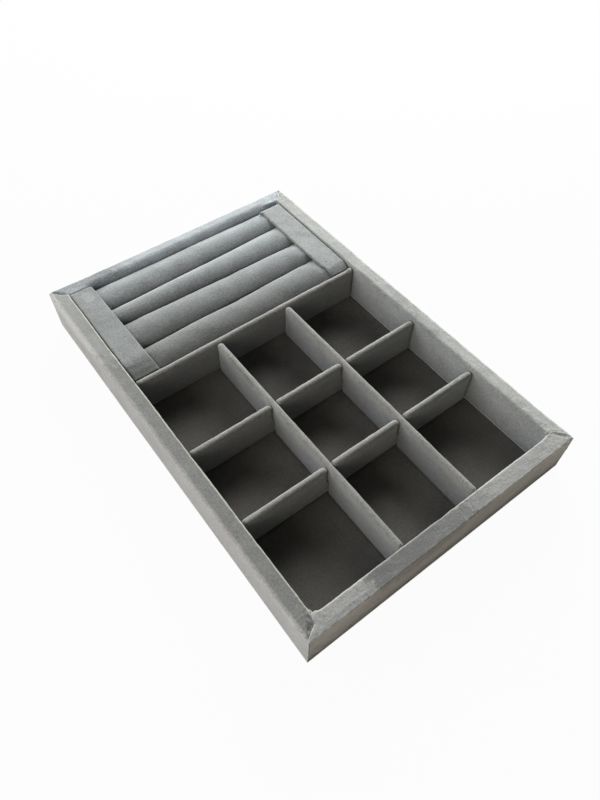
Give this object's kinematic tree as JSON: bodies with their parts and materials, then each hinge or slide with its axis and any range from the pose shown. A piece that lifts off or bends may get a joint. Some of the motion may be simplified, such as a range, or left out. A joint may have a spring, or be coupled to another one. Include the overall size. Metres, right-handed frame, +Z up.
{
  "type": "jewelry tray",
  "caption": "Low rectangular velvet-covered tray with ring bars across one end and square compartments formed by interlocking lift-out dividers.",
  "frame": {"origin": "middle of the underside, on the surface the tray stands on", "axes": "+X across the width, +Y along the length towards the ring bars, +Z up"},
  "size_m": [0.18, 0.27, 0.03],
  "materials": {
    "wall_velvet": "short-pile velvet, matte with a soft sheen",
    "lining_velvet": "short-pile velvet, matte",
    "divider_velvet": "short-pile velvet, matte with a soft sheen",
    "bar_velvet": "short-pile velvet over foam, soft sheen",
    "foam": "open-cell foam",
    "fibreboard": "raw medium-density fibreboard",
    "card": "raw grey card"
  },
  "bodies": {
    "tray": {"base_board": "fibreboard", "bottom_cover": "wall_velvet", "floor_velvet": "lining_velvet", "frame_board_back": "fibreboard", "frame_board_front": "fibreboard", "frame_board_left": "fibreboard", "frame_board_right": "fibreboard", "wall_velvet_back": "wall_velvet", "wall_velvet_front": "wall_velvet", "wall_velvet_left": "wall_velvet", "wall_velvet_right": "wall_velvet"},
    "main_divider": {"main_divider_board": "fibreboard", "main_divider_velvet": "divider_velvet"},
    "divider_grid": {"cross_divider_board_far": "fibreboard", "cross_divider_board_near": "fibreboard", "cross_divider_velvet_far": "divider_velvet", "cross_divider_velvet_near": "divider_velvet"},
    "long_divider_left": {"long_divider_board_left": "fibreboard", "long_divider_velvet_left": "divider_velvet"},
    "long_divider_right": {"long_divider_board_right": "fibreboard", "long_divider_velvet_right": "divider_velvet"},
    "ring_insert": {"end_strip_card_left": "card", "end_strip_card_right": "card", "end_strip_velvet_left": "bar_velvet", "end_strip_velvet_right": "bar_velvet", "ring_bar_foam_1": "foam", "ring_bar_foam_2": "foam", "ring_bar_foam_3": "foam", "ring_bar_foam_4": "foam", "ring_bar_velvet_1": "bar_velvet", "ring_bar_velvet_2": "bar_velvet", "ring_bar_velvet_3": "bar_velvet", "ring_bar_velvet_4": "bar_velvet", "ring_insert_card": "card"}
  },
  "joints": [
    {"name": "ring_insert_lift", "type": "slide", "parent": "tray", "child": "ring_insert", "axis": [0, 0, 1], "range_m": [0, 0.04]},
    {"name": "main_divider_lift", "type": "slide", "parent": "tray", "child": "main_divider", "axis": [0, 0, 1], "range_m": [0, 0.04]},
    {"name": "divider_grid_lift", "type": "slide", "parent": "tray", "child": "divider_grid", "axis": [0, 0, 1], "range_m": [0, 0.04]},
    {"name": "long_divider_left_lift", "type": "slide", "parent": "divider_grid", "child": "long_divider_left", "axis": [0, 0, 1], "range_m": [0, 0.04]},
    {"name": "long_divider_right_lift", "type": "slide", "parent": "divider_grid", "child": "long_divider_right", "axis": [0, 0, 1], "range_m": [0, 0.04]}
  ]
}
